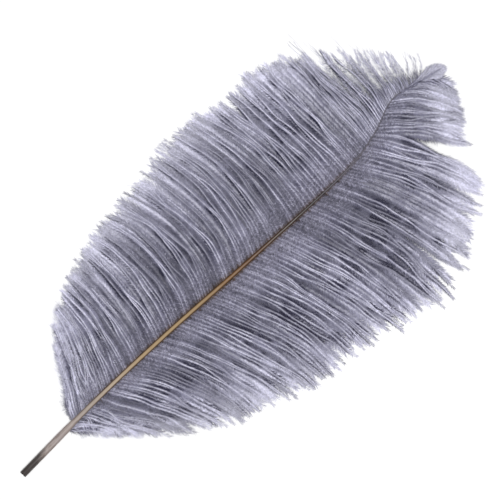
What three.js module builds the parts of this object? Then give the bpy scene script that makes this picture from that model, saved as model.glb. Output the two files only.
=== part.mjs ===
// An ostrich feather lying on a flat surface with its outer face up.
// Millimetres, +Z up. X runs from the cut end of the quill to the tip, and +Y is
// the side of the narrower vane. The feather is arched: the cut end of the quill
// and the rims of both vanes touch the surface, and the shaft rises between them.
// The shaft is one solid with a blind bore in its cut end. Each vane is a thin
// closed shell whose sections follow the barbs from the shaft out to their tips.

import * as THREE from "three";

// Shaft: the centre line and the size across it, as [distance from the cut end, value].
const SHAFT_LENGTH = 335;
const SHAFT_RINGS = 52;
const SHAFT_SIDES = 14;
const SHAFT_SIDEWAYS = [
  [0, 0.7], [60, 2.3], [119, 1.6], [179, -0.9], [238, -2.7],
  [268, -2.4], [290, 1.6], [312, 8.6], [335, 4.4],
];
const SHAFT_HEIGHT = [
  [0, 2.16], [40, 3.2], [100, 9], [160, 16], [210, 19], [260, 17], [300, 11], [325, 5], [335, 2.2],
];
const SHAFT_ACROSS = [
  [0, 4.3], [34, 4.2], [50, 3.3], [110, 3], [165, 2.8],
  [200, 2.2], [238, 1.6], [268, 1.1], [300, 0.7], [335, 0.4],
];
const BORE_RADIUS = 1.4;
const BORE_DEPTH = 9;
const CUT_SLANT = 1.6; // how much further the underside of the cut end reaches than its top

// Vanes: where their first and last barbs leave the shaft, and the shell's samples.
const VANE_START = 38;
const VANE_END = 333;
const VANE_SECTIONS = 50;
const VANE_SAMPLES = 10; // along each barb
const VANE_GAP = 0.35; // clearance between a vane and the shaft
const BARB_BEND = 0.45; // the share of a barb's reach that keeps its first direction

// Vane thickness: half of it at the shaft, in the middle of a barb and at its tip.
const HALF_AT_SHAFT = 0.85;
const HALF_AT_MIDDLE = 2.4;
const HALF_AT_TIP = 1;
const SWELL = 2.5; // extra height in the middle of the highest barbs
const RIM_START = 0.15; // a barb starts to come down here, as a share of its length
const RIM_END = 0.88; // and from here on it lies on the surface
const THINNEST = 1.2;

// Each vane: its barbs' first direction, in degrees from the shaft, and the places
// of their tips, all by the distance along the shaft at which a barb starts.
const LEFT_VANE = {
  side: 1,
  angle: [
    [38, 50], [60, 62], [120, 66], [180, 60], [215, 72], [265, 88], [290, 82], [312, 58], [334, 12],
  ],
  tipX: [
    [38, 50], [50, 67], [65, 81], [100, 108], [140, 141], [200, 202],
    [230, 227], [260, 258], [285, 289], [307, 316], [322, 334], [334, 349],
  ],
  tipY: [
    [38, 19], [50, 46], [65, 57], [100, 68], [140, 75.5], [200, 81],
    [230, 83], [260, 79], [285, 65], [307, 46], [322, 25], [334, 5],
  ],
};
const RIGHT_VANE = {
  side: -1,
  angle: [
    [38, 30], [60, 50], [90, 52], [130, 60], [180, 62], [220, 68],
    [255, 62], [280, 54], [300, 46], [318, 30], [334, 4],
  ],
  tipX: [
    [38, 53], [54, 76], [75, 100], [110, 134], [140, 162], [200, 222], [222, 241],
    [240, 264], [256, 284], [280, 311], [296, 329], [312, 341], [334, 350],
  ],
  tipY: [
    [38, -16], [54, -39.5], [75, -56], [110, -70], [140, -80], [200, -90], [222, -94],
    [240, -92], [256, -83], [280, -65], [296, -44], [312, -21], [334, 0.5],
  ],
};

/** Value at x of the smooth curve through the keys, with each slope that of the chord past its key. */
function keyed(x, keys) {
  const last = keys.length - 1;
  const at = Math.min(Math.max(x, keys[0][0]), keys[last][0]);
  const slope = (i) => {
    const [x0, y0] = keys[Math.max(i - 1, 0)];
    const [x1, y1] = keys[Math.min(i + 1, last)];
    return (y1 - y0) / (x1 - x0);
  };
  const i = Math.min(keys.findLastIndex(([key]) => key <= at), last - 1);
  const [x0, y0] = keys[i];
  const [x1, y1] = keys[i + 1];
  const h = x1 - x0;
  const u = (at - x0) / h;
  return (
    (1 + 2 * u) * (1 - u) ** 2 * y0 +
    u * (1 - u) ** 2 * h * slope(i) +
    u * u * (3 - 2 * u) * y1 +
    u * u * (u - 1) * h * slope(i + 1)
  );
}

/** 0 below low, 1 above high and a smooth rise between them. */
function rise(value, low, high) {
  const t = THREE.MathUtils.clamp((value - low) / (high - low), 0, 1);
  return t * t * (3 - 2 * t);
}

/** Whole numbers from 0 to count - 1. */
const upTo = (count) => Array.from({ length: count }, (_, i) => i);

function shaftCentre(x) {
  return new THREE.Vector3(x, keyed(x, SHAFT_SIDEWAYS), keyed(x, SHAFT_HEIGHT));
}

/** Closed solid through rings of one even number of points, closed at both ends by strips. */
function loft(rings) {
  const n = rings[0].length;
  const last = (rings.length - 1) * n;
  const index = [];
  for (const k of upTo(rings.length - 1)) {
    for (const i of upTo(n)) {
      const a = k * n + i;
      const b = k * n + ((i + 1) % n);
      index.push(a, b, b + n, a, b + n, a + n);
    }
  }
  for (const i of upTo(n / 2 - 1)) {
    const [a, b, c, d] = [i, i + 1, n - 2 - i, n - 1 - i];
    index.push(a, c, b, a, d, c);
    index.push(last + a, last + b, last + c, last + a, last + c, last + d);
  }
  const geometry = new THREE.BufferGeometry().setFromPoints(rings.flat());
  geometry.setIndex(index);
  geometry.computeVertexNormals();
  return geometry;
}

/** A ring of the shaft, square to its centre line: across wide, and moved along it by shift(angle). */
function shaftRing(x, across, shift = () => 0) {
  const step = 0.5;
  const centre = shaftCentre(x);
  const along = shaftCentre(x + step).sub(shaftCentre(x - step)).normalize();
  const sideways = new THREE.Vector3(0, 0, 1).cross(along).normalize();
  const up = along.clone().cross(sideways);
  return upTo(SHAFT_SIDES).map((i) => {
    const angle = (2 * Math.PI * i) / SHAFT_SIDES;
    return centre
      .clone()
      .addScaledVector(sideways, (across / 2) * Math.cos(angle))
      .addScaledVector(up, (across / 2) * Math.sin(angle))
      .addScaledVector(along, shift(angle));
  });
}

/** The shaft: up the blind bore to the slanted cut, and along the outside to the tip. */
function shaft() {
  const slanted = (angle) => (CUT_SLANT / 2) * (1 + Math.sin(angle));
  const bore = [
    shaftRing(BORE_DEPTH, 2 * BORE_RADIUS),
    shaftRing(0, 2 * BORE_RADIUS, slanted),
  ];
  const outside = upTo(SHAFT_RINGS).map((k) => {
    const x = (SHAFT_LENGTH * k) / (SHAFT_RINGS - 1);
    return shaftRing(x, keyed(x, SHAFT_ACROSS), k === 0 ? slanted : undefined);
  });
  return loft([...bore, ...outside]);
}

/** Half the shell's thickness at v, the share of the way along a barb. */
function halfThickness(v) {
  const swelling = rise(v, 0, 0.3) * (HALF_AT_MIDDLE - HALF_AT_SHAFT);
  const thinning = rise(v, 0.7, 1) * (HALF_AT_MIDDLE - HALF_AT_TIP);
  return HALF_AT_SHAFT + swelling - thinning;
}

/** One section of a vane: below and above one barb, a curve with two legs from the shaft to the tip. */
function vaneSection(vane, x) {
  const root = shaftCentre(x);
  const rootHeight = root.z;
  const tip = new THREE.Vector3(keyed(x, vane.tipX), keyed(x, vane.tipY), 0);
  root.setZ(0);
  root.y += vane.side * (keyed(x, SHAFT_ACROSS) / 2 + VANE_GAP);
  const angle = vane.side * THREE.MathUtils.degToRad(keyed(x, vane.angle));
  const reach = BARB_BEND * root.distanceTo(tip);
  const bend = new THREE.Vector3(Math.cos(angle), Math.sin(angle), 0).multiplyScalar(reach).add(root);
  const curve = new THREE.QuadraticBezierCurve3(root, bend, tip);
  const highest = Math.max(...SHAFT_HEIGHT.map(([, height]) => height));

  const below = [];
  const above = [];
  for (const j of upTo(VANE_SAMPLES)) {
    const v = j / (VANE_SAMPLES - 1);
    const half = halfThickness(v);
    const arch = (rootHeight - HALF_AT_TIP) * (1 - rise(v, RIM_START, RIM_END));
    const swell = (SWELL * rootHeight * Math.sin(Math.PI * Math.min(v / RIM_END, 1))) / highest;
    const middle = HALF_AT_TIP + arch + swell;
    const low = v > RIM_END ? 0 : Math.max(middle - half, 0);
    const point = curve.getPoint(v);
    below.push(point.clone().setZ(low));
    above.push(point.clone().setZ(Math.max(middle + half, low + THINNEST)));
  }
  return vane.side > 0 ? [...below, ...above.reverse()] : [...above, ...below.reverse()];
}

/** One vane: a shell lofted through its sections, from the first barb to the last. */
function vaneShell(vane) {
  const step = (VANE_END - VANE_START) / (VANE_SECTIONS - 1);
  return loft(upTo(VANE_SECTIONS).map((k) => vaneSection(vane, VANE_START + k * step)));
}

const hornMaterial = new THREE.MeshStandardMaterial({ color: 0xb09a80, roughness: 0.42, metalness: 0 });
const leftVaneMaterial = new THREE.MeshStandardMaterial({ color: 0x8a8999, roughness: 0.95, metalness: 0 });
const rightVaneMaterial = new THREE.MeshStandardMaterial({ color: 0x868596, roughness: 0.95, metalness: 0 });

const feather = new THREE.Group();
for (const [name, geometry, material] of [
  ["shaft", shaft(), hornMaterial],
  ["vane_left", vaneShell(LEFT_VANE), leftVaneMaterial],
  ["vane_right", vaneShell(RIGHT_VANE), rightVaneMaterial],
]) {
  const mesh = new THREE.Mesh(geometry, material);
  mesh.name = name;
  feather.add(mesh);
}

// The origin is on the surface, under the middle of the whole feather.
const extent = new THREE.Box3().setFromObject(feather);
const middle = extent.getCenter(new THREE.Vector3());
feather.position.set(-middle.x, -middle.y, -extent.min.z);

export default feather;
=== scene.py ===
"""One ostrich feather on a pale floor: a horn shaft, and two vanes of loose barbs fringed with down.

The feather's own measures are in millimetres: x runs along the feather from the cut end of the quill,
y to the narrower vane and z up from the floor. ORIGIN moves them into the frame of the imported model.
"""

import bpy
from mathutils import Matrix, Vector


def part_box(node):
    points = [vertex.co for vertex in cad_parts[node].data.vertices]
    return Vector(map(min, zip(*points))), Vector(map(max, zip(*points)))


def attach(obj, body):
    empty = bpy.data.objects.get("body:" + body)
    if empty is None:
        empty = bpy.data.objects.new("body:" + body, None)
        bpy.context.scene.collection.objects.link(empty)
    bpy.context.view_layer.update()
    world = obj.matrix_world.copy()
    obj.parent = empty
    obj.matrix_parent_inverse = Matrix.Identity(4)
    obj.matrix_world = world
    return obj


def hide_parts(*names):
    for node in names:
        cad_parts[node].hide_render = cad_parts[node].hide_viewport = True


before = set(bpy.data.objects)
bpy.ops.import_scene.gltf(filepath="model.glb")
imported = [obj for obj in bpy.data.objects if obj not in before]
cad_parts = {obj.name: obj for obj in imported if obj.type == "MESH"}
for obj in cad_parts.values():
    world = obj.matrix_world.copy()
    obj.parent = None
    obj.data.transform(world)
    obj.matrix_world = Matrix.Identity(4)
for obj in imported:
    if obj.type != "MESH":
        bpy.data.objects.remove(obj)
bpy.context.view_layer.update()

from types import SimpleNamespace

import bpy
import numpy as np
from bpy.props import FloatProperty, FloatVectorProperty, IntProperty, PointerProperty
from mathutils import Matrix, Vector

bl_info = {
    "name": "Ostrich Feather",
    "version": (1, 0, 0),
    "blender": (4, 5, 0),
    "location": "3D View > Sidebar > Feather",
    "description": "Builds an ostrich feather: its shaft, barbs, down and wisps, and a plain stage",
    "category": "Add Mesh",
}

MM = 0.001  # metres in a millimetre
MAP_NAME = "OFBake"  # of the UV map that a piece's colours are baked through

SHAFT_LENGTH = 335.0
SHAFT_TOP = 19.0  # the height of its highest point
QUILL = 4.3  # its width at the cut end
BORE = 2.8  # width of the hollow there
BORE_DEPTH = 9.0
GROOVE = 0.2  # depth of the groove along its underside, as a share of its radius
GROOVE_ANGLE = 26  # degrees that the groove reaches to either side
# Its centre line and its width, as (distance from the cut end, value).
SIDEWAYS = [
    (0, 0.7), (60, 2.3), (119, 1.6), (179, -0.9), (238, -2.7),
    (268, -2.4), (290, 1.6), (312, 8.6), (335, 4.4),
]
HEIGHT = [
    (0, 2.16), (40, 3.2), (100, 9), (160, 16), (210, SHAFT_TOP), (260, 17), (300, 11), (325, 5), (335, 2.2),
]
ACROSS = [
    (0, QUILL), (34, 4.2), (50, 3.3), (110, 3), (165, 2.8),
    (200, 2.2), (238, 1.6), (268, 1.1), (300, 0.7), (335, 0.4),
]

# The vanes: where barbs leave the shaft, how they set off and where they end.
VANE_START = 36.0
VANE_END = 334.0
FLUFF = [(38, 1.0), (55, 0.8), (90, 0.0), (334, 0.0)]  # soft, wavy barbs with long barbules by the quill
DENSITY = [(38, 1.35), (80, 1.0), (250, 0.95), (300, 1.2), (334, 1.4)]  # of barbs along the shaft
UNEVEN = 0.42  # how far a barb leaves its even place, in steps
BARB_ROOT = 0.3  # barbs leave the shaft this far from its middle, as a share of its width
BARB_BEND = 0.45  # the share of a barb's reach that keeps its first direction
RIM_START = 0.15  # a barb starts to come down here, as a share of its length
RIM_END = 0.88  # and from here on it lies on the floor
RIM_HEIGHT = 1.3  # of the rim above the floor
SWELL = 2.5  # of a vane above the even slope, where the shaft is highest
LOWEST_BARB = 0.35  # the height that no barb goes below
LOWEST_DOWN = 0.08  # and no barbule
WIDE_PARTING = 3.0  # narrower partings only cut the upper layer
STRAND_SIZES = (1, 2, 3)  # barbs that run together, and how often
STRAND_SHARES = (0.3, 0.42, 0.28)
STRAND_WAVES = ((0.75, 10), (0.22, 3.8), (0.85, 20))  # height and run of a strand's sideways waves
JOINS_FROM, JOINS_SPAN = 0.12, 0.45  # the barbs of a strand meet in this stretch of their length
JOINS_END = JOINS_FROM + JOINS_SPAN
# Proud strands also get a brighter painted ridge highlight and darker painted shade in the gaps beside them.
PROUD_SHARE = 0.72  # of the strands stand up as pale ridges; the others lie lower, under their down
STRAY_SHARE = 0.1  # of the barbs wander off from their strand
LAYER_DROP = 1.4  # of the lower layer under the upper one
LOWER_START = 9.0  # the lower layer starts this far up from the vane's first barb
WISPS_REACH = 24.0  # how far along the shaft the wisps go on
GAUZE_START, GAUZE_END = 280.0, 333.0
HAIRS_START, HAIRS_END = 284.0, 328.0
TUFT_START, TUFT_END = 322.0, 334.0  # the barbs along the shaft that make the tip's tuft
TUFT_CENTRE = (336.8, 4.4)
TUFT_SLOPE = 0.27
TUFT_LENGTH = 11.5
TUFT_WIDTH = 5.0
TUFT_HEIGHT = 2.4  # of its end above the floor
TUFT_LOWEST = 0.5  # the height that none of its barbs goes below
TUFT_FAN = 72  # degrees round the tuft's end that the barbs spread over to either side
# A barbule's angle from its barb in degrees, and its length, as (share of the barb's length, value).
BARBULE_ANGLE = [(0, 60), (0.6, 48), (0.85, 40), (1, 26)]
BARBULE_LENGTH = [(0, 0.6), (0.12, 0.8), (0.35, 1), (0.7, 1.05), (0.9, 1), (1, 0.75)]
VANE_SAMPLES, LOWER_SAMPLES, FINE_SAMPLES, TUFT_SAMPLES = 44, 30, 40, 24  # points along a barb
MAP_FILL = 0.42  # of half a barb's row in the map, and of half a barbule's step along it

# The radius of a barb at the shaft and at its tip, and its barbules, for the groups that are finer or coarser
# than the upper layer: the gap between two, their length and width, and how unruly they are.
WISP_RAMUS = (0.14, 0.05)
GAUZE_RAMUS = (0.1, 0.05)
HAIR_RAMUS = (0.1, 0.07)
TUFT_RAMUS = 0.7  # of a vane's barb
LOWER_DOWN = {"spacing": 0.17, "length": 5.4, "width": 0.62, "ruffle": 0.8, "bends": ()}
WISP_DOWN = {"spacing": 0.45, "length": 3.6, "width": 0.1, "ruffle": 1.5}
TUFT_DOWN = {"spacing": 0.16, "length": 2.0, "width": 0.17, "ruffle": 0.7}
GAUZE_DOWN = {"spacing": 0.38, "length": 3.0, "width": 0.11, "ruffle": 1.4}

# The two vanes. Most lists are (place on the shaft, value) for the barb that leaves it there:
# - angle: how the barb sets off, in degrees from the shaft, and tip_x, tip_y: where it ends
# - sparse: the share of its down that is missing
# - deep shade: how dark the painted shade in the gaps beside it is, and pale: how much sooner than others it
#   turns pale
# - pull: how far it leans to the middle of its clump, and clump: how many barbs that has
# The barbs run from first to last, and those of the lower layer to lower_last. There, the soft barbs by the
# quill are paler by soft_pale. A parting is its place, the share of a barb's length where it opens, how far
# it opens, and how far to either side the barbs give way to it.
LEFT, RIGHT = 1, -1
VANES = {
    LEFT: SimpleNamespace(
        word="left",
        angle=[
            (38, 50), (60, 62), (120, 66), (180, 60), (215, 72), (265, 88), (290, 84), (312, 70), (334, 40),
        ],
        tip_x=[
            (38, 50), (50, 67), (65, 81), (100, 107), (140, 142), (200, 202),
            (230, 226), (243, 240.5), (260, 258), (270, 270), (285, 289), (307, 314), (322, 329), (334, 342),
        ],
        tip_y=[
            (38, 18), (50, 44), (65, 56), (100, 68.5), (140, 76.5), (200, 81),
            (230, 82), (243, 77), (260, 79.5), (270, 78.5), (285, 66), (307, 46), (322, 31), (334, 16),
        ],
        sparse=[(38, 0), (268, 0), (285, 0.2), (300, 0.45), (312, 0.75), (334, 0.88)],
        deep_shade=[
            (38, 0.7), (60, 0.65), (110, 0.2), (160, -0.02), (220, -0.1), (245, 0.05), (270, 0.4), (334, 0.4),
        ],
        first=43,
        last=325,
        lower_last=286,
        soft_pale=0.15,
        pale=[
            (38, 0.3), (44, 0.16), (50, -0.1), (100, 0), (170, 0.02), (255, 0), (280, -0.12), (300, -0.22),
            (318, -0.08), (334, 0.05),
        ],
        pull=[(38, 0.12), (200, 0.15), (334, 0.25)],
        clump=[(38, 4), (200, 5), (260, 6), (334, 4)],
        partings=[
            (105, 0.85, 1.2, 4), (150, 0.82, 1.3, 4), (166, 0.82, 1.2, 4), (222, 0.8, 1.8, 5),
            (243, 0.62, 3.1, 6), (283, 0.6, 0.8, 5),
        ],
    ),
    RIGHT: SimpleNamespace(
        word="right",
        angle=[
            (38, 34), (60, 50), (90, 52), (130, 60), (180, 62), (220, 66),
            (255, 58), (280, 50), (300, 41), (318, 29), (334, 10),
        ],
        tip_x=[
            (38, 53), (54, 75), (75, 100), (110, 135), (140, 164), (200, 224), (222, 244),
            (240, 267), (256, 287), (280, 314), (296, 326.5), (312, 338), (334, 345),
        ],
        tip_y=[
            (38, -17), (54, -40.5), (75, -57), (110, -72.5), (140, -82), (200, -91), (222, -96.5),
            (240, -95), (256, -86), (280, -67), (296, -42), (312, -23.5), (334, -9.5),
        ],
        sparse=[(38, 0), (290, 0), (306, 0.25), (320, 0.4), (334, 0.25)],
        deep_shade=[
            (38, 0.52), (60, 0.52), (110, 0.12), (175, 0.18), (205, 0.65), (245, 0.6), (275, -0.15),
            (334, -0.2),
        ],
        first=37,
        last=334,
        lower_last=334,
        soft_pale=0.45,
        # Its last keys darken the barbs beside the tuft into a dark arc: painted shadow under the tuft.
        pale=[
            (38, 0.42), (46, 0.36), (60, 0.26), (95, 0.12), (135, 0.07), (165, -0.02), (220, -0.05),
            (242, 0.05), (265, 0.1), (282, 0.19), (300, 0.23), (322, 0.32), (328, 0.15), (334, -0.3),
        ],
        pull=[(38, 0.12), (190, 0.16), (240, 0.3), (334, 0.35)],
        clump=[(38, 4), (180, 5), (230, 7), (334, 8)],
        partings=[
            (95, 0.88, 1.0, 4), (140, 0.88, 1.0, 4), (180, 0.86, 1.0, 4), (218, 0.8, 1.0, 5),
            (240, 0.8, 1.2, 5), (270, 0.65, 1.2, 6), (289.5, 0.0, 7.5, 7),
        ],
    ),
}

# How the down of a vane looks: the crest of its painted ridge highlight falls off at these shares of a
# barbule's length, the highlight gloss says how bright that painted highlight is, and the lee shade how dark
# the painted shade in the middle of the barbules is on a barb's paler side. The calm zone by the shaft and
# the dark seam along it end at these shares of a barb's length; the seam is the barbs' brown roots darkened
# by painted shadow beside the shaft.
LOOKS = {
    LEFT: SimpleNamespace(crest_highlight=(0.09, 0.17, 0.29), highlight_gloss=1.4, lee_shade=0.35, calm=0.17, seam=0.03),
    RIGHT: SimpleNamespace(crest_highlight=(0.14, 0.27, 0.42), highlight_gloss=0.95, lee_shade=0.9, calm=0.2, seam=0.014),
}
# How light the inner half of the barbs is, and the look, of each finish of the barbs and the down. The lower
# layer's darker inner half is painted shade under the upper layer.
FINISHES = {
    "barbs": (1.0, LOOKS[LEFT]),
    "barbules_left": (1.0, LOOKS[LEFT]),
    "barbules_right": (1.0, LOOKS[RIGHT]),
    "lower_barbules": (0.62, LOOKS[LEFT]),
}
SHADES = ("root", "inner", "outer", "tip", "ridge_highlight", "valley_shade")
# Colours in 0 to 255 sRGB: of the seam where the down meets the shaft, the barbs' brown roots with painted
# shadow beside the shaft, and of the horn's marks.
SEAM_SHADOW = (74, 60, 54)
HORN = {
    # The edge colour is partly the shaft's own brown edges and partly painted shade on its sides.
    "edge": (72, 48, 27), "stain": (38, 31, 31), "grain": (120, 104, 92), "scuff": (96, 78, 62),
    "fleck": (196, 186, 182),
}
# Seeds of the random draws. The down of a group takes the next number.
SEEDS = {
    "shaft": 3, "vane": {LEFT: 11, RIGHT: 29}, "lower": {LEFT: 47, RIGHT: 61},
    "wisps": {LEFT: 131, RIGHT: 139}, "tuft": 83, "gauze": 97, "hairs": 101,
}

# The stage: the view's turn from the feather's axis in degrees, its middle and its width in the feather's
# millimetres, the camera's sensor in millimetres, and its far limit, the floor and the key light in metres.
VIEW_TURN = 43.97
VIEW_CENTRE = (189.5, 2.98, 2.0)
VIEW_WIDTH = 297.8
SENSOR = 36.0
CLIP_END = 20
FLOOR_SIZE = 8.0
KEY_RIGHT, KEY_TOP, KEY_UP = 0.06, -0.04, 1.2
KEY_SIZE = 0.35


def keyed(x, keys):
    """Smooth curve through (position, value) keys: cubic pieces, whose slope at a key is that of the chord
    between its neighbours."""
    places, values = np.array(keys, float).T
    chord = np.diff(values) / np.diff(places)
    slope = np.empty_like(values)
    slope[0], slope[-1] = chord[0], chord[-1]
    slope[1:-1] = (values[2:] - values[:-2]) / (places[2:] - places[:-2])
    x = np.clip(np.asarray(x, float), places[0], places[-1])
    i = np.clip(np.searchsorted(places, x, side="right") - 1, 0, len(places) - 2)
    h = places[i + 1] - places[i]
    u = (x - places[i]) / h
    return (
        (1 + 2 * u) * (1 - u) ** 2 * values[i]
        + u * (1 - u) ** 2 * h * slope[i]
        + u * u * (3 - 2 * u) * values[i + 1]
        + u * u * (u - 1) * h * slope[i + 1]
    )


def rise(value, low, high):
    """0 below low, 1 above high and the smooth step 3t^2 - 2t^3 between them."""
    t = np.clip((np.asarray(value, float) - low) / (high - low), 0, 1)
    return t * t * (3 - 2 * t)


def unit(vectors):
    """The vectors at length 1."""
    return vectors / np.maximum(np.linalg.norm(vectors, axis=-1, keepdims=True), 1e-9)


def shaft_centre(x):
    """Centre line of the shaft at distances x."""
    return np.stack([x, keyed(x, SIDEWAYS), keyed(x, HEIGHT)], -1)


def frame_origin():
    """Where x = y = z = 0 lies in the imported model, from the low corner of the shaft's box."""
    x = np.linspace(0, SHAFT_LENGTH, 200)
    low_side = np.min(keyed(x, SIDEWAYS) - keyed(x, ACROSS) / 2)
    low = np.array(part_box("shaft")[0]) / MM
    return np.array([low[0], low[1] - low_side, 0.0])


ORIGIN = frame_origin()


def vane_point(side, x, v):
    """Middle surface of a vane, for the barb that leaves the shaft at x and the share v of its length.

    In plan a quadratic Bezier curve from the shaft's side to the keyed tip, whose first leg has the keyed
    angle. The height falls from the shaft's to the rim's by a smooth step, with a half sine wave on top.
    """
    vane = VANES[side]
    root = shaft_centre(x)
    root[..., 1] += side * BARB_ROOT * keyed(x, ACROSS)
    tip = np.stack([keyed(x, vane.tip_x), keyed(x, vane.tip_y)], -1)
    angle = side * np.radians(keyed(x, vane.angle))
    reach = BARB_BEND * np.linalg.norm(tip - root[..., :2], axis=-1)
    bend = root[..., :2] + reach[..., None] * np.stack([np.cos(angle), np.sin(angle)], -1)
    w = v[..., None]
    plan = (1 - w) ** 2 * root[..., :2] + 2 * w * (1 - w) * bend + w * w * tip
    arch = (root[..., 2] - RIM_HEIGHT) * (1 - rise(v, RIM_START, RIM_END))
    swell = SWELL * root[..., 2] / SHAFT_TOP * np.sin(np.pi * np.clip(v / RIM_END, 0, 1))
    return np.concatenate([plan, (RIM_HEIGHT + arch + swell)[..., None]], -1)


# Meshes


def new_object(name, points, faces, material, uv=None, **attributes):
    """A smooth mesh object from points in the feather's millimetres; faces are arrays of point numbers, one
    for each number of corners, and attributes and uv have a value for each point."""
    points = (np.asarray(points, float).reshape(-1, 3) + ORIGIN) * MM
    mesh = bpy.data.meshes.new(name)
    sizes = np.concatenate([np.full(len(f), f.shape[1]) for f in faces])
    loops = np.concatenate([f.ravel() for f in faces])
    mesh.vertices.add(len(points))
    mesh.vertices.foreach_set("co", points.astype(np.float32).ravel())
    mesh.loops.add(len(loops))
    mesh.loops.foreach_set("vertex_index", loops.astype(np.int32))
    mesh.polygons.add(len(sizes))
    mesh.polygons.foreach_set("loop_start", (np.cumsum(sizes) - sizes).astype(np.int32))
    mesh.polygons.foreach_set("loop_total", sizes.astype(np.int32))
    mesh.polygons.foreach_set("use_smooth", np.ones(len(sizes), bool))
    for key, values in attributes.items():
        layer = mesh.attributes.new(key, "FLOAT", "POINT")
        layer.data.foreach_set("value", np.asarray(values, np.float32).ravel())
    if uv is not None:
        layer = mesh.uv_layers.new(name=MAP_NAME)
        layer.data.foreach_set("uv", np.asarray(uv, np.float32).reshape(-1, 2)[loops].ravel())
    mesh.materials.append(material)
    mesh.update(calc_edges=True)
    mesh.validate()
    piece = bpy.data.objects.new(name, mesh)
    bpy.context.scene.collection.objects.link(piece)
    return piece


def grid_faces(rows, columns):
    """Quads of a grid of rows by columns of points, whose rows close into rings."""
    r = np.arange(rows - 1)[:, None] * columns
    c = np.arange(columns)[None]
    d = (c + 1) % columns
    return np.stack([r + c, r + d, r + columns + d, r + columns + c], -1).reshape(-1, 4)


def adopt(piece, slot, *nodes):
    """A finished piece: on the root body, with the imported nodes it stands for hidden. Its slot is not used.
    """
    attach(piece, "root")
    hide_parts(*nodes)


# Materials


def nodes_of(name):
    """A new material with a Principled shader, and helpers to add and join its nodes. In add, a name such as
    _0 is the number of an input, and in ramp a stop with one number is a grey."""
    material = bpy.data.materials.new(name)
    material.use_nodes = True
    tree = material.node_tree
    shader = tree.nodes["Principled BSDF"]

    def add(kind, **values):
        node = tree.nodes.new(kind)
        for key, value in values.items():
            if isinstance(value, bpy.types.NodeSocket):
                tree.links.new(value, node.inputs[int(key[1:])] if key[1:].isdigit() else node.inputs[key])
            elif key[0] == "_" and key[1:].isdigit():
                node.inputs[int(key[1:])].default_value = value
            elif key in node.inputs:
                node.inputs[key].default_value = value
            else:
                setattr(node, key, value)
        return node

    def math(operation, a, b=0.0, clamp=False):
        return add("ShaderNodeMath", operation=operation, use_clamp=clamp, _0=a, _1=b).outputs[0]

    def plus(a, b):
        return math("ADD", a, b)

    def minus(a, b):
        return math("SUBTRACT", a, b)

    def times(a, b, clamp=False):
        return math("MULTIPLY", a, b, clamp)

    def attribute(key):
        return add("ShaderNodeAttribute", attribute_name=key).outputs["Fac"]

    def ramp(value, stops):
        node = add("ShaderNodeValToRGB", Fac=value)
        elements = node.color_ramp.elements
        elements[0].position, elements[-1].position = stops[0][0], stops[-1][0]
        for place, _ in stops[1:-1]:
            elements.new(place)
        for element, (_, colour) in zip(elements, stops):
            element.color = (*np.broadcast_to(colour, 3).tolist(), 1)
        return node.outputs["Color"]

    def mix(factor, a, b, blend="MIX"):
        node = add("ShaderNodeMix", data_type="RGBA", blend_type=blend)
        for index, value in ((0, factor), (6, a), (7, b)):
            if isinstance(value, bpy.types.NodeSocket):
                tree.links.new(value, node.inputs[index])
            else:
                node.inputs[index].default_value = value if index == 0 else (*value, 1)
        return node.outputs[2]

    def noise(scale, detail=2.0, roughness=0.5, vector=None):
        where = vector or add("ShaderNodeTexCoord").outputs["Object"]
        return add(
            "ShaderNodeTexNoise", Vector=where, Scale=scale, Detail=detail, Roughness=roughness
        ).outputs["Fac"]

    def stretched(x, y, z):
        where = add("ShaderNodeTexCoord").outputs["Object"]
        return add("ShaderNodeMapping", Vector=where, Scale=(x, y, z)).outputs["Vector"]

    def link(value, socket):
        tree.links.new(value, shader.inputs[socket])

    def bump(height, strength, distance):
        node = add("ShaderNodeBump", Height=height, Strength=strength, Distance=distance)
        tree.links.new(node.outputs["Normal"], shader.inputs["Normal"])

    return SimpleNamespace(
        material=material, shader=shader, add=add, math=math, plus=plus, minus=minus, times=times,
        attribute=attribute, ramp=ramp, mix=mix, noise=noise, stretched=stretched, link=link, bump=bump,
    )


def srgb(red, green, blue):
    """Linear colour of an sRGB one given in 0 to 255."""
    c = np.array([red, green, blue]) / 255
    return tuple(float(v) for v in np.where(c <= 0.04045, c / 12.92, ((c + 0.055) / 1.055) ** 2.4))


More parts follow.
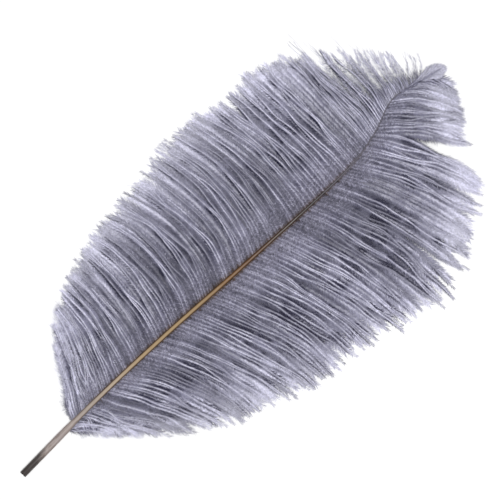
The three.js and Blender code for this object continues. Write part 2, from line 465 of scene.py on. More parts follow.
def horn_material(colours):
    """Keratin: its colour runs along the shaft, with dark lines along its sides that are partly its own brown
    edges and partly painted shade, fine grain and a low gloss. The cut end is stained as far as a ragged,
    slanted border, and scuffed and flecked beyond it."""
    n = nodes_of("quill_horn")
    along = n.attribute("along")
    across = n.attribute("across")
    grain = n.noise(1.0, 4, 0.65, n.stretched(120, 2600, 2600))
    streak = n.noise(1.0, 2, 0.5, n.stretched(40, 1300, 900))
    patch = n.noise(55.0, 3, 0.6)
    place = n.plus(along, n.times(n.minus(patch, 0.5), 0.03))
    body = n.ramp(place, [
        (0.0, srgb(150, 138, 130)),
        (0.09, srgb(164, 153, 151)),
        (0.17, srgb(168, 156, 146)),
        (0.22, srgb(176, 160, 142)),
        (0.30, srgb(168, 145, 112)),
        (0.40, srgb(160, 135, 98)),
        (0.46, srgb(142, 115, 80)),
        (0.50, srgb(124, 90, 52)),
        (0.55, srgb(98, 64, 30)),
        (0.61, srgb(60, 41, 27)),
        (0.70, srgb(50, 45, 47)),
        (0.80, srgb(96, 94, 106)),
        (1.0, srgb(104, 102, 118)),
    ])
    # Dark lines along the shaft's sides: partly its own brown edges, partly painted shade on its sides.
    lined = n.ramp(along, [(0.0, 0.5), (0.13, 0.35), (0.21, 0.95), (0.6, 0.95), (0.75, 0.4)])
    rim_and_shade = n.ramp(n.math("ABSOLUTE", across), [(0.45, 0.0), (0.74, 1.0)])
    edged_and_shaded = n.mix(n.times(rim_and_shade, lined), body, srgb(*colours["edge"]))
    ragged = n.times(n.minus(n.noise(260.0, 3, 0.7), 0.5), 0.03)
    border = n.plus(n.times(across, -0.008), ragged)
    stain = n.ramp(n.plus(along, border), [(0.040, 1.0), (0.052, 0.45), (0.062, 0.0)])
    scuffs = n.ramp(n.noise(1.0, 3, 0.6, n.stretched(160, 700, 700)), [(0.56, 0.0), (0.66, 1.0)])
    scuffed_end = n.ramp(along, [(0.1, 0.6), (0.22, 0.0)])
    scuffed = n.mix(n.times(scuffs, scuffed_end), edged_and_shaded, srgb(*colours["scuff"]))
    stained = n.mix(n.times(stain, 0.93), scuffed, srgb(*colours["stain"]))
    flecks = n.ramp(n.noise(1.0, 2, 0.6, n.stretched(25, 1500, 1500)), [(0.48, 0.0), (0.62, 1.0)])
    flecked_end = n.ramp(along, [(0.04, 0.1), (0.07, 0.5), (0.2, 0.0)])
    flecked = n.mix(n.times(flecks, flecked_end), stained, srgb(*colours["fleck"]))
    pores = n.times(n.minus(1.0, grain), 0.5)
    grained = n.mix(pores, flecked, srgb(*colours["grain"]), "MULTIPLY")
    n.link(grained, "Base Color")
    n.link(n.plus(0.30, n.times(grain, 0.3)), "Roughness")
    n.bump(n.plus(grain, streak), 0.5, 0.00008)
    n.shader.inputs["Specular IOR Level"].default_value = 0.4
    n.shader.inputs["Coat Weight"].default_value = 0.06
    n.shader.inputs["Coat Roughness"].default_value = 0.3
    return n.material


def down_material(name, shades, lightness, look):
    """Barbs and down: painted highlights along the ridges, painted shade between them, a seam by the shaft of
    brown roots with painted shadow, and pale at the tips.
    """
    n = nodes_of(name)
    along = n.attribute("along")
    across = n.attribute("across")
    tone = n.attribute("tone")
    root, inner, outer, tip, ridge_highlight, valley_shade = shades
    palest = tuple(0.35 * a + 0.65 * b for a, b in zip(tip, ridge_highlight))
    # The seam at the start of the base colours is the barbs' brown roots darkened by painted shadow beside
    # the shaft.
    base = n.ramp(along, [
        (0.0, srgb(*SEAM_SHADOW)), (look.seam, root), (0.25, inner), (0.6, outer), (0.88, tip), (1.0, palest),
    ])
    # Painted highlight along each ridge, broken up by noise and scaled by the barb's tone.
    high, half, foot = look.crest_highlight
    crest_highlight = n.ramp(n.math("ABSOLUTE", across), [(0.0, 1.0), (high, 0.8), (half, 0.35), (foot, 0.0)])
    outwards = n.ramp(along, [(0.0, 0.12), (look.calm, 0.36), (look.calm + 0.22, 1.0)])
    broken = n.ramp(n.noise(120.0, 2, 0.6), [(0.38, 0.4), (0.6, 1.0)])
    pale_ridge_highlight = n.times(n.times(tone, look.highlight_gloss), broken)
    strength = n.times(pale_ridge_highlight, outwards, clamp=True)
    # Painted shade in the grooves beside each ridge, deepest on a barb's darker side and in the painted
    # cracks, mixed towards the valley colour.
    side = n.plus(0.5, n.times(across, 0.5))
    groove = n.ramp(side, [
        (0.0, 0.9), (0.14, 0.7), (0.28, look.lee_shade), (0.4, 0.1), (0.45, 0.0),
        (0.55, 0.0), (0.62, 0.7), (0.72, 1.0),
    ])
    fading = n.minus(1.0, n.times(along, 0.4))
    # Painted shadow cracks between the strands.
    crack_shadows = n.ramp(n.noise(75.0, 2, 0.6), [(0.38, 0.15), (0.56, 1.45)])
    shading = n.times(n.plus(0.15, n.attribute("shade")), crack_shadows)
    shaded_groove = n.times(groove, shading)
    depth = n.times(shaded_groove, n.times(fading, outwards), clamp=True)
    deep_shade = n.mix(depth, base, valley_shade)
    lit = n.mix(n.times(crest_highlight, strength), deep_shade, ridge_highlight)
    cloud = n.noise(28.0, 3, 0.6)
    varied = n.plus(n.times(tone, 0.6), n.times(cloud, 0.4))
    shaded = n.ramp(along, [(0.45, lightness), (0.9, 1.0)])
    felt = n.ramp(n.noise(520.0, 2, 0.6), [(0.36, -0.32), (0.64, 0.32)])
    near = n.ramp(along, [(0.04, 1.0), (0.32, 0.0)])
    mottled = n.plus(1.0, n.times(felt, near))
    gain = n.times(n.times(n.plus(0.35, varied), shaded), mottled)
    grain = n.ramp(n.noise(850.0, 3, 0.7), [(0.3, 0.78), (0.7, 1.22)])
    grained = n.times(gain, grain)
    colour = n.add("ShaderNodeVectorMath", operation="SCALE", _0=lit, Scale=grained).outputs[0]
    n.link(colour, "Base Color")
    n.shader.inputs["Roughness"].default_value = 0.85
    n.shader.inputs["Specular IOR Level"].default_value = 0.25
    n.shader.inputs["Sheen Weight"].default_value = 0.15
    n.shader.inputs["Sheen Roughness"].default_value = 0.5
    return n.material


# Shapes


def shaft_rings(x, radius, ring, lengthways=0.0):
    """Rings of points square to the shaft's centre line at x: at each angle in ring, the radius in that
    direction, moved along the line by lengthways. Radius and lengthways are (len(x), len(ring)) arrays."""
    step = 0.5
    centre = shaft_centre(x)
    along = unit(shaft_centre(x + step) - shaft_centre(x - step))
    sideways = unit(np.cross([0.0, 0.0, 1.0], along))
    up = np.cross(along, sideways)
    radius = np.broadcast_to(radius, (len(x), len(ring)))[..., None]
    lengthways = np.broadcast_to(lengthways, (len(x), len(ring)))[..., None]
    direction = (
        sideways[:, None] * np.cos(ring)[None, :, None] + up[:, None] * np.sin(ring)[None, :, None]
    )
    return centre[:, None] + radius * direction + lengthways * along[:, None]


def make_shaft(shape, material):
    """Quill and shaft: the bore from its closed inner end to the ragged, slanted cut, then the outside.

    The outside's radius is half the keyed width, less the groove exp(-(angle from below / its angle)^2) on
    the underside, which starts with the vanes, less a slight squareness cos(4 angle) and plus a fine wave.
    """
    sides = 40
    ring = np.linspace(0, 2 * np.pi, sides, endpoint=False)
    rng = np.random.default_rng(SEEDS["shaft"])
    teeth = sum(
        a * np.sin(k * ring + p) for k, a, p in zip((3, 7, 11), (0.18, 0.12, 0.08), rng.uniform(0, 6, 3))
    )
    slant = 0.8 * (1 + np.sin(ring)) + teeth - 1.3

    bore_x = BORE_DEPTH - np.array([0.0, 0.6, 3.0, 6.0, BORE_DEPTH])
    bore_r = shape.bore / 2 * np.array([0.5, 0.95, 1, 1, 1])
    bore = shaft_rings(bore_x, bore_r[:, None], ring, np.where(bore_x[:, None] < 1, slant, 0))
    lip_x = np.zeros(4)
    lip_r = shape.bore / 2 + (shape.quill / 2 - shape.bore / 2) * np.linspace(0.25, 0.97, 4)
    lip = shaft_rings(lip_x, lip_r[:, None], ring, slant)

    x = np.concatenate([np.linspace(0.0, 3, 6), np.linspace(4, 60, 70), np.linspace(61, SHAFT_LENGTH, 240)])
    half = keyed(x, ACROSS) / 2 * shape.quill / QUILL
    from_below = (ring + np.pi / 2 + np.pi) % (2 * np.pi) - np.pi
    hollow = np.exp(-((from_below / np.radians(GROOVE_ANGLE)) ** 2))
    groove = GROOVE * rise(x, VANE_START, 70)[:, None] * hollow
    square = 0.025 * rise(x, 40, 80)[:, None] * np.cos(4 * ring)
    wobble = 0.012 * np.sin(0.9 * x[:, None] + 2 * ring) * rise(x, 0, 4)[:, None]
    outside = shaft_rings(
        x, half[:, None] * (1 - groove - square + wobble), ring, slant * (1 - rise(x, 0, 3))[:, None]
    )

    rows = np.concatenate([bore, lip, outside])
    distance = np.concatenate([bore_x, lip_x, x])
    ends = shaft_centre(np.array([BORE_DEPTH, SHAFT_LENGTH + 0.3]))
    count = len(rows) * sides
    i = np.arange(sides)
    j = (i + 1) % sides
    last = count - sides
    fans = np.concatenate([
        np.stack([j, i, np.full(sides, count)], -1),
        np.stack([last + i, last + j, np.full(sides, count + 1)], -1),
    ])
    sideways = np.tile(np.cos(ring) * rise(np.sin(ring), -1.2, -0.2), len(rows))
    piece = new_object(
        "quill_and_shaft", np.concatenate([rows.reshape(-1, 3), ends]), [grid_faces(len(rows), sides), fans],
        material,
        along=np.append(np.repeat(distance, sides), [BORE_DEPTH, SHAFT_LENGTH]) / SHAFT_LENGTH,
        across=np.append(sideways, [0.0, 0.0]),
    )
    adopt(piece, "horn", "shaft")


def lay_barbs(side, count, seed, first=None, last=None):
    """Barbs of one vane from first to last along the shaft, in clumps that lean together towards their tips.

    Even steps with a little play. A clump's middle barb is the longest, and each barb has its own share of
    the reach, lift, tone and wander. Strands of one to three barbs share their waves and close up from the
    joins outwards; closed says of each barb's two neighbours whether they are of its strand. A proud strand
    stands over the others.
    """
    vane = VANES[side]
    first, last = first or vane.first, last or vane.last
    rng = np.random.default_rng(seed)
    step = (last - first) / count
    grid = np.linspace(first, last, 400)
    share = np.cumsum(keyed(grid, DENSITY))
    even = (np.arange(count) + 0.5 + rng.uniform(-UNEVEN, UNEVEN, count)) / count
    x = np.interp(even, share / share[-1], grid)
    mean = keyed(x, vane.clump)
    clump = np.cumsum(rng.uniform(0, 2, count) < 1 / mean * 2 * rng.uniform(0.6, 1.4, count))
    members = np.maximum(np.bincount(clump, minlength=clump.max() + 1), 1)
    middle = (np.bincount(clump, x, clump.max() + 1) / members)[clump]
    clump_size = members[clump]
    clump_draw = rng.uniform(-1, 1, (3, clump.max() + 1))[:, clump]
    strand = np.repeat(np.arange(count), rng.choice(STRAND_SIZES, count, p=STRAND_SHARES))[:count]
    strand_middle = (np.bincount(strand, x) / np.maximum(np.bincount(strand), 1))[strand]
    strand_draw = rng.uniform(0, 1, (8, strand.max() + 1))[:, strand]
    same = strand[1:] == strand[:-1]
    proud = strand_draw[2] < PROUD_SHARE
    off = (x - middle) / np.maximum(clump_size * step / 2, step)
    ruffled = 1 - rise(x, 60, 110)
    shorter = (0.02 + 0.025 * clump_draw[0]) * off**2
    reach = 1 - shorter + 0.02 * clump_draw[1] + rng.normal(0, 0.022, count)
    # Proud strands get a brighter painted ridge highlight and, with the vane's deep keys, darker painted
    # shade in the gaps beside them.
    proud_lift = np.where(proud, 0.3, -0.8)
    proud_tone = np.where(proud, 0.72 + 0.2 * ruffled, 0.4 - 0.25 * ruffled)
    depth = np.where(proud, 0.9, 0.5) + keyed(x, vane.deep_shade)
    sparse = keyed(x, vane.sparse)
    return SimpleNamespace(
        side=side,
        x=x,
        middle=middle + clump_draw[2] * 0.6,
        pull=keyed(x, vane.pull) * rng.uniform(0.75, 1.25, count) * (1 + 0.4 * clump_draw[0]),
        reach=np.clip(reach, 0.6, 1.05),
        lift=0.6 * clump_draw[1] + rng.normal(0, 0.2, count) + proud_lift + 0.5 * strand_draw[3],
        tone=np.clip(proud_tone + 0.1 * clump_draw[2] + rng.normal(0, 0.14, count), 0, 1),
        phase=rng.uniform(0, 2 * np.pi, (4, count)),
        strand_phase=2 * np.pi * strand_draw[4:7],
        lean=2 * strand_draw[7] - 1,
        length=np.linalg.norm(vane_point(side, x, np.ones(count)) - shaft_centre(x), axis=-1),
        closed=np.stack([np.append(False, same), np.append(same, False)]),
        to_strand=np.clip(strand_middle - x, -2.4, 2.4) * (0.5 + 0.4 * strand_draw[0]),
        joins=JOINS_FROM + JOINS_SPAN * strand_draw[1],
        stray=rng.normal(0, 1.6, count) * (rng.uniform(0, 1, count) < STRAY_SHARE),
        shade=np.clip(depth + rng.normal(0, 0.18, count) - sparse, 0, 1.5)
        * (0.1 + 0.9 * rise(x, vane.first + 1, vane.first + 8)),
        sparse=sparse,
        start=0.012 * rise(x, 150, 200) + 0.06 * (1 - rise(x, 44, 60)),
        fluff=keyed(x, FLUFF),
        pale=keyed(x, vane.pale) + 0.25 * sparse,
        count=count,
    )


def barb_paths(barbs, samples, depth=0.0, wander=1.0):
    """Centre lines of barbs, (count, samples, 3): the vane's surface followed at a place along the shaft
    that moves with v towards the middles of its clump and strand and away from the partings, and swings in
    the strand's three sine waves and two of its own. depth is how far the barbs lie under the surface."""
    v = np.linspace(0, 1, samples)[None]
    vane = VANES[barbs.side]
    x = barbs.x[:, None] + (barbs.middle - barbs.x)[:, None] * barbs.pull[:, None] * rise(v, 0.3, 1.05)
    joins = barbs.joins[:, None]
    x = x + barbs.to_strand[:, None] * rise(v, joins, joins + 0.3) * (1 - 0.6 * rise(v, 0.8, 1))
    x = x + barbs.stray[:, None] * rise(v, 0.1, 0.9)
    for place, start, opening, spread in vane.partings:
        if depth and opening < WIDE_PARTING:
            continue
        away = (barbs.x - place) / spread
        x = x + (np.sign(away) * opening * np.exp(-np.abs(away)))[:, None] * rise(v, start, 1.1)
    first, second, third = barbs.phase[:3, :, None]
    wander = wander * (1 + 0.9 * barbs.fluff[:, None])
    far = v * barbs.length[:, None]
    x = x + wander * 1.5 * barbs.lean[:, None] * v
    strand_drift = sum(
        height * np.sin(far / run + phase[:, None])
        for (height, run), phase in zip(STRAND_WAVES, barbs.strand_phase)
    )
    x = x + wander * rise(v, 0.02, 0.45) * (1 - 0.3 * rise(v, 0.7, 1)) * strand_drift
    x = x + wander * v * (0.35 * np.sin(far / 8 + first) + 0.15 * np.sin(far / 3 + second))
    x = x + 1.6 * v * np.sin(barbs.x[:, None] / 11 + 2.2 * v + barbs.side) * wander
    x = np.clip(x, VANE_START, VANE_END)
    share = v * barbs.reach[:, None]
    points = vane_point(barbs.side, x, np.broadcast_to(share, x.shape))
    up = barbs.lift[:, None] * rise(v, 0.0, 0.25) + 0.35 * wander * np.sin(7 * v + third) * v
    points[..., 2] = points[..., 2] + up * (1 - 0.6 * rise(v, 0.8, 1)) - depth * rise(v, 0, 0.12)
    points[..., 2] = np.maximum(points[..., 2], LOWEST_BARB)
    return points


def tuft_paths(barbs, samples):
    """Centre lines of the tip's tuft, by turns on either side of the shaft's end.

    Each is a quadratic Bezier curve that sets off along the shaft and ends on an ellipse: the further back a
    barb starts, the further round the ellipse's side it ends. The height falls evenly from the shaft's.
    """
    v = np.linspace(0, 1, samples)[None, :, None]
    hand = np.where(np.arange(barbs.count) % 2, -1.0, 1.0)
    back = (TUFT_END - barbs.x) / (TUFT_END - TUFT_START)
    turn = hand * back * np.radians(TUFT_FAN)
    ahead = TUFT_LENGTH * np.cos(turn) * barbs.reach
    aside = TUFT_WIDTH * np.sin(turn) - TUFT_SLOPE * ahead
    tip = np.stack([TUFT_CENTRE[0] + ahead, TUFT_CENTRE[1] + aside, np.full(barbs.count, TUFT_HEIGHT)], -1)
    root = shaft_centre(barbs.x)
    root[:, 1] += BARB_ROOT * hand * keyed(barbs.x, ACROSS)
    reach = np.linalg.norm(tip - root, axis=-1, keepdims=True)
    bend = root + 0.55 * reach * unit(shaft_centre(barbs.x + 1) - shaft_centre(barbs.x))
    bend[:, 2] = (root[:, 2] + tip[:, 2]) / 2 + 0.6
    points = (1 - v) ** 2 * root[:, None] + 2 * v * (1 - v) * bend[:, None] + v * v * tip[:, None]
    points[..., 1] += 0.25 * v[..., 0] * np.sin(6 * v[..., 0] + barbs.phase[0][:, None])
    points[..., 2] += 0.5 * barbs.lift[:, None] * rise(v[..., 0], 0, 0.3)
    points[..., 2] = np.maximum(points[..., 2], TUFT_LOWEST)
    return points


def path_frames(points):
    """Unit tangents, sideways and up vectors along paths: sideways is level, and up square to both."""
    tangent = unit(np.gradient(points, axis=1))
    sideways = unit(np.cross([0.0, 0.0, 1.0], tangent))
    return tangent, sideways, np.cross(tangent, sideways)


def make_rami(name, barbs, points, material, thick, thin):
    """Rami: a three-sided section carried along each path, its ridge up. The radius falls evenly from thick
    at the shaft to thin at the tip, and by up to half where the vane is sparse."""
    count, samples = points.shape[:2]
    v = np.linspace(0, 1, samples)
    tangent, sideways, up = path_frames(points)
    radius = (thick * (1 - v) + thin * v)[None, :, None, None] * (1 - 0.5 * barbs.sparse)[:, None, None, None]
    ring = np.radians([90, 210, 330])
    section = (
        sideways[:, :, None] * np.cos(ring)[None, None, :, None] * 1.15
        + up[:, :, None] * np.sin(ring)[None, None, :, None] * 1.4
    )
    tubes = points[:, :, None] + radius * section
    row = np.arange(count)[:, None, None]
    faces = (row * samples * 3 + grid_faces(samples, 3)).reshape(-1, 4)
    corners = row[:, 0] * samples * 3 + np.arange(3)
    tips = corners + (samples - 1) * 3
    roots = corners[:, ::-1]
    shape = (count, samples, 3)
    along = barbs.start[:, None] + v * (barbs.reach + barbs.pale)[:, None] + 0.5 * barbs.sparse[:, None]
    map_row = (row + 0.5 + 0.08 * np.array([0.0, -1.0, 1.0])) / count
    return new_object(
        name, tubes, [faces, tips, roots], material,
        uv=np.stack([np.broadcast_to(v[None, :, None], shape), np.broadcast_to(map_row, shape)], -1),
        along=np.broadcast_to(along[..., None], shape),
        across=np.zeros(shape),
        tone=np.broadcast_to(barbs.tone[:, None, None], shape),
        shade=np.zeros(shape),
    )


def down_arrays(barbs, points, spacing, length, width, seed, ruffle=1.0, bends=(0.55,), felted=0.0):
    """Barbules of the barbs as pointed ribbons: two points at the root and at each bend, one at the end.

    A barbule leaves its ramus at an angle that closes from 60 to 26 degrees on the way to the barb's
    tip, runs straight and bends a little forward with the square of the distance, and droops with its
    1.6th power. Its length rises from the shaft to the middle of the barb and falls again to the tip.
    Felted down is broader, stands up more and points every way, close to the shaft. Near the tip, and where
    the vane is sparse, barbules are left out by a random draw.
    """
    rng = np.random.default_rng(seed)
    count, samples = points.shape[:2]
    lengths = np.linalg.norm(np.diff(points, axis=1), axis=-1).sum(-1)
    numbers = np.maximum((lengths / spacing).astype(int), 4)
    barb = np.repeat(np.arange(count), numbers)
    order = np.arange(len(barb)) - np.repeat(np.cumsum(numbers) - numbers, numbers)
    v = (order + 0.5 + rng.uniform(-0.3, 0.3, len(barb))) / numbers[barb]
    thinned = np.maximum(0.3 * rise(v, 0.8, 1), barbs.sparse[barb] * rise(v, 0.05, 0.35))
    kept = rng.uniform(0, 1, len(barb)) > thinned
    barb, v = barb[kept], v[kept]
    at = v * (samples - 1)
    low = np.minimum(at.astype(int), samples - 2)
    part = (at - low)[:, None]
    between = [
        field[barb, low] * (1 - part) + field[barb, low + 1] * part
        for field in (points, *path_frames(points))
    ]
    root, tangent, sideways, up = (np.concatenate([f, f]) for f in between)
    tangent, sideways, up = unit(tangent), unit(sideways), unit(up)
    hand = np.repeat([1.0, -1.0], len(barb))[:, None]
    barb, v = np.tile(barb, 2), np.tile(v, 2)
    total = len(barb)
    felt = felted * (1 - rise(v, 0.1, 0.3)) * rise(barbs.x[barb], 45, 58) * (1 - barbs.sparse[barb])
    root = root + (0.4 * felt - 0.12)[:, None] * up

    long = length * keyed(v, BARBULE_LENGTH)
    fluff = barbs.fluff[barb]
    long = (long * (1 + 0.6 * fluff + 0.4 * felt) * rng.uniform(0.7, 1.2, total))[:, None]
    ruffle = ruffle * (1 + fluff)
    spread = 9 * ruffle + 12 * felt
    leaving = keyed(v, BARBULE_ANGLE) + rng.normal(0, 1, total) * spread
    leaving = (np.radians(leaving) * (1 - 0.7 * barbs.sparse[barb]))[:, None]
    droop = ((rng.normal(0.5, 0.2, total) * ruffle + 0.12) * (1 - 0.75 * rise(v, 0.6, 1)))[:, None]
    curl = (rng.normal(0, 0.12, total) * ruffle)[:, None]
    shares = np.array([0.0, *bends, 1.0])
    ribbon = [
        root
        + long * w * (np.cos(leaving) * tangent + np.sin(leaving) * hand * sideways)
        + long * w * w * (0.22 + curl) * tangent
        - long * w**1.6 * droop * up
        for w in shares
    ]
    ahead = unit(ribbon[1] - root)
    flat = unit(tangent - np.sum(ahead * tangent, -1, keepdims=True) * ahead)
    twist = rng.normal(0, 0.35, total)[:, None]
    flat = unit(flat + twist * up) * (width / 2 * (1 + 1.2 * felt - 0.4 * rise(v, 0.75, 1)))[:, None]
    edges = [middle + edge * flat for middle in ribbon[:-1] for edge in (-1, 1)]
    corners = np.stack([*edges, ribbon[-1]], 1)
    corners[..., 2] = np.maximum(corners[..., 2], LOWEST_DOWN)
    size = corners.shape[1]
    across = np.append(np.repeat(shares[:-1], 2), 1.0) * hand
    tone = np.clip(barbs.tone[barb] + rng.normal(0, 1, total) * (0.14 + 0.26 * felt), 0, 1)
    towards_tip = (hand[:, 0] * barbs.side < 0).astype(int)
    closed = barbs.closed[towards_tip, barb] * rise(v, barbs.joins[barb], barbs.joins[barb] + 0.3)
    shade = np.clip(barbs.shade[barb] + 0.3 * np.sin(9 * v + barbs.phase[3, barb]), 0, 1) * (1 - 0.7 * closed)
    along = barbs.start[barb] + v * (barbs.reach + barbs.pale)[barb] + 0.5 * barbs.sparse[barb]
    u_step = MAP_FILL / numbers[barb][:, None] * np.append(np.tile([-1, 1], len(shares) - 1), 0)
    return SimpleNamespace(
        points=corners,
        along=np.broadcast_to((along + 0.14 * rise(v, 0.88, 1.0))[:, None], (total, size)),
        across=across,
        tone=np.broadcast_to(tone[:, None], (total, size)),
        shade=np.broadcast_to(shade[:, None], (total, size)),
        barb=barb,
        u=np.clip(v[:, None] + u_step, 0, 1),
        v=across * MAP_FILL,
    )


def make_down(name, down, chosen, material):
    """The barbules of the chosen barbs as one mesh. Each barb is a row of the map."""
    keep = np.isin(down.barb, chosen)
    row = np.searchsorted(chosen, down.barb[keep])
    points = down.points[keep]
    total, size = points.shape[:2]
    first = np.arange(total)[:, None] * size
    quads = [first + np.array([[k, k + 1, k + 3, k + 2]]) for k in range(0, size - 3, 2)]
    ends = first + np.array([[size - 3, size - 2, size - 1]])
    v = (row[:, None] + 0.5 + down.v[keep]) / len(chosen)
    return new_object(
        name, points, [*quads, ends], material,
        along=down.along[keep], across=down.across[keep], tone=down.tone[keep], shade=down.shade[keep],
        uv=np.stack([down.u[keep], v], -1),
    )


# Sizes and colours


class FeatherShape(bpy.types.PropertyGroup):
    """Sizes and numbers of the feather's parts."""

    quill: FloatProperty(name="Quill", description="Width of the quill, mm", default=QUILL, min=2, max=8)
    bore: FloatProperty(
        name="Bore", description="Width of the hollow in the cut end, mm", default=BORE, min=0.5, max=6
    )
    barbs: IntProperty(name="Barbs", description="Barbs on each vane", default=150, min=20, max=300)
    under_barbs: IntProperty(
        name="Lower barbs", description="Barbs in the lower layer of each vane", default=96, min=10, max=200
    )
    wisps: IntProperty(
        name="Wisps", description="Fine barbs by the quill on each vane", default=14, min=2, max=100
    )
    tuft_barbs: IntProperty(
        name="Tuft barbs", description="Barbs of the tip's tuft", default=34, min=6, max=80
    )
    gauze_barbs: IntProperty(
        name="Gauze barbs", description="Fine barbs of the gauze beside the tip", default=84, min=2, max=200
    )
    hairs: IntProperty(name="Hairs", description="Bare hairs beside the tip", default=30, min=2, max=100)
    ramus: FloatProperty(
        name="Barb", description="Thickness of a barb at the shaft, mm", default=0.5, min=0.1, max=1
    )
    ramus_tip: FloatProperty(
        name="Barb tip", description="Thickness of a barb at its tip, mm", default=0.14, min=0.02, max=1
    )
    barbule: FloatProperty(name="Barbule", description="Longest barbules, mm", default=2.7, min=1, max=10)
    barbule_width: FloatProperty(
        name="Barbule width", description="Width of a barbule, mm", default=0.2, min=0.02, max=1
    )
    barbule_gap: FloatProperty(
        name="Barbule gap", description="Distance between barbules along a barb, mm", default=0.25,
        min=0.05, max=2,
    )


class FeatherColours(bpy.types.PropertyGroup):
    """Colours of the down and of the floor."""

    root: FloatVectorProperty(
        name="By the shaft", description="Down by the shaft", subtype="COLOR",
        default=srgb(100, 98, 113), min=0, max=1,
    )
    inner: FloatVectorProperty(
        name="Inner", description="Down in the inner third of a barb", subtype="COLOR",
        default=srgb(123, 122, 141), min=0, max=1,
    )
    outer: FloatVectorProperty(
        name="Outer", description="Down in the outer part of a barb", subtype="COLOR",
        default=srgb(142, 141, 163), min=0, max=1,
    )
    tip: FloatVectorProperty(
        name="Tips", description="Down at the tips of the barbs", subtype="COLOR",
        default=srgb(162, 161, 180), min=0, max=1,
    )
    # Painted highlight along the ridges of the barbs.
    ridge_highlight: FloatVectorProperty(
        name="Ridges", description="Ridges of the barbs", subtype="COLOR",
        default=srgb(218, 217, 234), min=0, max=1,
    )
    # Painted shade in the grooves and gaps between the ridges.
    valley_shade: FloatVectorProperty(
        name="Valleys", description="Ends of the barbules, between the ridges", subtype="COLOR",
        default=srgb(27, 25, 53), min=0, max=1,
    )
    floor: FloatVectorProperty(
        name="Floor", description="Floor", subtype="COLOR", default=(0.86, 0.86, 0.86), min=0, max=1
    )


class FeatherStage(bpy.types.PropertyGroup):
    """The lights and the lens."""

    key: FloatProperty(
        name="Key light", description="Power of the key light", default=14.0, min=0, unit="POWER"
    )
    fill: FloatProperty(name="Sky", description="Strength of the light from all round", default=0.35, min=0)
    lens: FloatProperty(name="Lens", description="Focal length, mm", default=90.0, min=20, max=300)


# Operators


def down_finish(context, name):
    """The named finish of barbs or down, made the first time it is asked for."""
    colours = context.scene.feather_colours
    shades = [tuple(getattr(colours, key)) for key in SHADES]
    return bpy.data.materials.get(name) or down_material(name, shades, *FINISHES[name])


def build_group(context, barbs, points, ramus, finishes, nodes, rami_name, down_names=(), **form):
    """Adds a group of barbs: the rami as one piece and, where names are given, the down as that many more.

    ramus is a barb's radius at the shaft and at the tip, finishes those of the rami and of the down, nodes
    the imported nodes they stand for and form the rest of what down_arrays is told.
    """
    rami = make_rami(rami_name, barbs, points, down_finish(context, finishes[0]), *ramus)
    adopt(rami, "down", *nodes)
    if not down_names:
        return
    finish = down_finish(context, finishes[1])
    down = down_arrays(barbs, points, **form)
    for name, part in zip(down_names, np.array_split(np.arange(barbs.count), len(down_names))):
        adopt(make_down(name, down, part, finish), "down", *nodes)


class FEATHER_OT_shaft(bpy.types.Operator):
    """Build the hollow quill and the shaft."""

    bl_idname = "feather.shaft"
    bl_label = "Quill and shaft"

    def execute(self, context):
        make_shaft(context.scene.feather_shape, horn_material(HORN))
        return {"FINISHED"}


def build_vane(context, side):
    """One vane's upper barbs and their down, in three lengths along the shaft."""
    shape = context.scene.feather_shape
    word = VANES[side].word
    seed = SEEDS["vane"][side]
    barbs = lay_barbs(side, shape.barbs, seed)
    build_group(
        context, barbs, barb_paths(barbs, VANE_SAMPLES), (shape.ramus / 2, shape.ramus_tip / 2),
        ("barbs", f"barbules_{word}"), [f"vane_{word}"],
        f"barbs_{word}", [f"down_{word}_{where}" for where in ("base", "middle", "tip")],
        spacing=shape.barbule_gap, length=shape.barbule, width=shape.barbule_width, seed=seed + 1, felted=1.0,
    )


class FEATHER_OT_left_vane(bpy.types.Operator):
    """Build the narrower vane's barbs and down."""

    bl_idname = "feather.left_vane"
    bl_label = "Left vane"

    def execute(self, context):
        build_vane(context, LEFT)
        return {"FINISHED"}


class FEATHER_OT_right_vane(bpy.types.Operator):
    """Build the broader vane's barbs and down."""

    bl_idname = "feather.right_vane"
    bl_label = "Right vane"

    def execute(self, context):
        build_vane(context, RIGHT)
        return {"FINISHED"}


class FEATHER_OT_lower_layer(bpy.types.Operator):
    """Build the lower layer of barbs, which closes the vanes under the ridges."""

    bl_idname = "feather.lower_layer"
    bl_label = "Lower layer"

    def execute(self, context):
        shape = context.scene.feather_shape
        for side, seed in SEEDS["lower"].items():
            vane = VANES[side]
            barbs = lay_barbs(side, shape.under_barbs, seed, vane.first + LOWER_START, vane.lower_last)
            # A little shorter than the upper barbs, paler by the quill, and calmer.
            barbs.reach = barbs.reach * (0.95 - 0.12 * barbs.fluff)
            barbs.pale = barbs.pale + 0.1 + vane.soft_pale * barbs.fluff
            barbs.fluff = barbs.fluff * 0.15
            barbs.shade = barbs.shade * 0.2
            barbs.pull = barbs.pull * 0.3
            barbs.to_strand = barbs.to_strand * 0.1
            build_group(
                context, barbs, barb_paths(barbs, LOWER_SAMPLES, depth=LAYER_DROP, wander=0.25),
                (shape.ramus / 2, shape.ramus_tip / 2), ("lower_barbules",) * 2, [f"vane_{vane.word}"],
                f"lower_barbs_{vane.word}", [f"lower_down_{vane.word}"], seed=seed + 1, **LOWER_DOWN,
            )
        return {"FINISHED"}


class FEATHER_OT_wisps(bpy.types.Operator):
    """Build the fine, pale, wavy barbs by the quill, which make a soft edge there."""

    bl_idname = "feather.wisps"
    bl_label = "Wisps by the quill"

    def execute(self, context):
        count = context.scene.feather_shape.wisps
        for side, seed in SEEDS["wisps"].items():
            vane = VANES[side]
            wisps = lay_barbs(side, count, seed, vane.first, vane.first + WISPS_REACH)
            wisps.reach = 0.85 + 0.22 * wisps.joins / JOINS_END
            wisps.pale = np.full(count, 0.4)
            wisps.tone = np.clip(wisps.tone + 0.2, 0, 1)
            build_group(
                context, wisps, barb_paths(wisps, FINE_SAMPLES, wander=1.5), WISP_RAMUS,
                ("barbs", "barbules_left"), [f"vane_{vane.word}"],
                f"wisps_{vane.word}", [f"wisps_down_{vane.word}"], seed=seed + 1, **WISP_DOWN,
            )
        return {"FINISHED"}


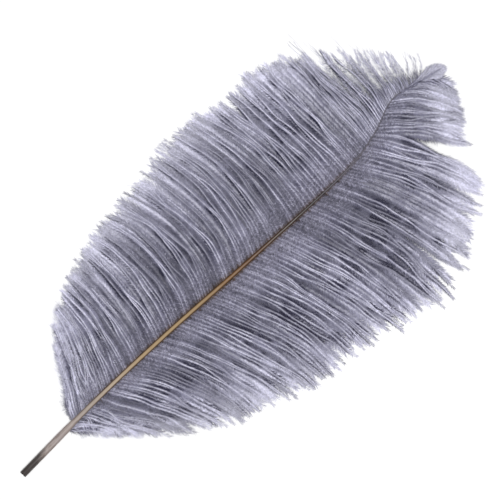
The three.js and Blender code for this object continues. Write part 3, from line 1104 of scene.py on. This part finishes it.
class FEATHER_OT_tip(bpy.types.Operator):
    """Build the tuft at the tip, and the gauze of fine barbs and the bare hairs beside it."""

    bl_idname = "feather.tip"
    bl_label = "Tip"

    def execute(self, context):
        shape = context.scene.feather_shape
        finishes = ("barbs", "barbules_left")
        seed = SEEDS["tuft"]
        tuft = lay_barbs(RIGHT, shape.tuft_barbs, seed, TUFT_START, TUFT_END)
        # Paler and plainer than the vane.
        tuft.pale = tuft.pale + 0.12
        tuft.shade = tuft.shade * 0.3
        tuft.tone = tuft.tone * 0.7
        build_group(
            context, tuft, tuft_paths(tuft, TUFT_SAMPLES),
            (TUFT_RAMUS * shape.ramus / 2, shape.ramus_tip / 2), finishes, ["vane_left", "vane_right"],
            "tuft_barbs", ["tuft_down"], seed=seed + 1, **TUFT_DOWN,
        )

        seed = SEEDS["gauze"]
        gauze = lay_barbs(LEFT, shape.gauze_barbs, seed, GAUZE_START, GAUZE_END)
        gauze.reach = 0.72 + 0.34 * gauze.joins / JOINS_END
        build_group(
            context, gauze, barb_paths(gauze, FINE_SAMPLES), GAUZE_RAMUS, finishes,
            ["vane_left"], "gauze_barbs", ["gauze_down"], seed=seed + 1, **GAUZE_DOWN,
        )

        hairs = lay_barbs(LEFT, shape.hairs, SEEDS["hairs"], HAIRS_START, HAIRS_END)
        hairs.reach = 1.0 + 0.3 * hairs.joins / JOINS_END
        points = barb_paths(hairs, FINE_SAMPLES, wander=1.6)
        build_group(context, hairs, points, HAIR_RAMUS, finishes, ["vane_left"], "hairs")
        return {"FINISHED"}


def area_light(name, place, target, size, power):
    """A square area light at place, in metres, turned to the target."""
    light = bpy.data.lights.new(name, "AREA")
    light.shape = "SQUARE"
    light.size = size
    light.energy = power
    lamp = bpy.data.objects.new(name, light)
    lamp.location = place
    lamp.rotation_euler = (Vector(target) - Vector(place)).to_track_quat("-Z", "Y").to_euler()
    bpy.context.scene.collection.objects.link(lamp)


class FEATHER_OT_stage(bpy.types.Operator):
    """Build the floor, the lights and the camera that looks straight down."""

    bl_idname = "feather.stage"
    bl_label = "Stage"

    def execute(self, context):
        scene = context.scene
        stage = scene.feather_stage
        corners = np.array([[-1, -1, 0], [1, -1, 0], [1, 1, 0], [-1, 1, 0]]) * FLOOR_SIZE / 2
        n = nodes_of("floor")
        n.shader.inputs["Base Color"].default_value = (*scene.feather_colours.floor, 1)
        n.shader.inputs["Roughness"].default_value = 0.9
        mesh = bpy.data.meshes.new("floor")
        mesh.from_pydata(corners.tolist(), [], [(0, 1, 2, 3)])
        mesh.materials.append(n.material)
        floor = bpy.data.objects.new("floor", mesh)
        scene.collection.objects.link(floor)

        world = bpy.data.worlds.new("sky")
        world.use_nodes = True
        background = world.node_tree.nodes["Background"]
        background.inputs["Color"].default_value = (1, 1, 1, 1)
        background.inputs["Strength"].default_value = stage.fill
        scene.world = world

        turn = np.radians(VIEW_TURN)
        centre = Vector((VIEW_CENTRE + ORIGIN) * MM)
        right = Vector((np.cos(turn), -np.sin(turn), 0))
        top = Vector((np.sin(turn), np.cos(turn), 0))
        camera = bpy.data.cameras.new("camera")
        camera.lens = stage.lens
        camera.sensor_width = SENSOR
        camera.clip_end = CLIP_END
        distance = VIEW_WIDTH * MM * stage.lens / SENSOR
        eye = bpy.data.objects.new("camera", camera)
        axes = Matrix((right, top, right.cross(top))).transposed()
        eye.matrix_world = Matrix.Translation(centre + Vector((0, 0, distance))) @ axes.to_4x4()
        scene.collection.objects.link(eye)
        scene.camera = eye

        key_from = centre + right * KEY_RIGHT + top * KEY_TOP + Vector((0, 0, KEY_UP))
        area_light("key", key_from, centre, KEY_SIZE, stage.key)
        scene.view_settings.view_transform = "Standard"
        return {"FINISHED"}


class FEATHER_PT_panel(bpy.types.Panel):
    """Lists the feather's pieces."""

    bl_idname = "FEATHER_PT_panel"
    bl_label = "Ostrich Feather"
    bl_space_type = "VIEW_3D"
    bl_region_type = "UI"
    bl_category = "Feather"

    def draw(self, context):
        for operator in OPERATORS:
            self.layout.operator(operator.bl_idname)


OPERATORS = (
    FEATHER_OT_stage,
    FEATHER_OT_shaft,
    FEATHER_OT_left_vane,
    FEATHER_OT_right_vane,
    FEATHER_OT_lower_layer,
    FEATHER_OT_wisps,
    FEATHER_OT_tip,
)
GROUPS = {"feather_shape": FeatherShape, "feather_colours": FeatherColours, "feather_stage": FeatherStage}


def register():
    """Make the sizes, the colours, the operators and the panel known."""
    for group in GROUPS.values():
        bpy.utils.register_class(group)
    for key, group in GROUPS.items():
        setattr(bpy.types.Scene, key, PointerProperty(type=group))
    for item in (*OPERATORS, FEATHER_PT_panel):
        bpy.utils.register_class(item)


def unregister():
    """Take back what register made known, in the other order."""
    for item in reversed((*OPERATORS, FEATHER_PT_panel)):
        bpy.utils.unregister_class(item)
    for key in GROUPS:
        delattr(bpy.types.Scene, key)
    for group in reversed(GROUPS.values()):
        bpy.utils.unregister_class(group)


def main():
    """Build every piece and the stage."""
    register()
    for operator in OPERATORS:
        family, name = operator.bl_idname.split(".")
        getattr(getattr(bpy.ops, family), name)()


if __name__ == "__main__":
    main()
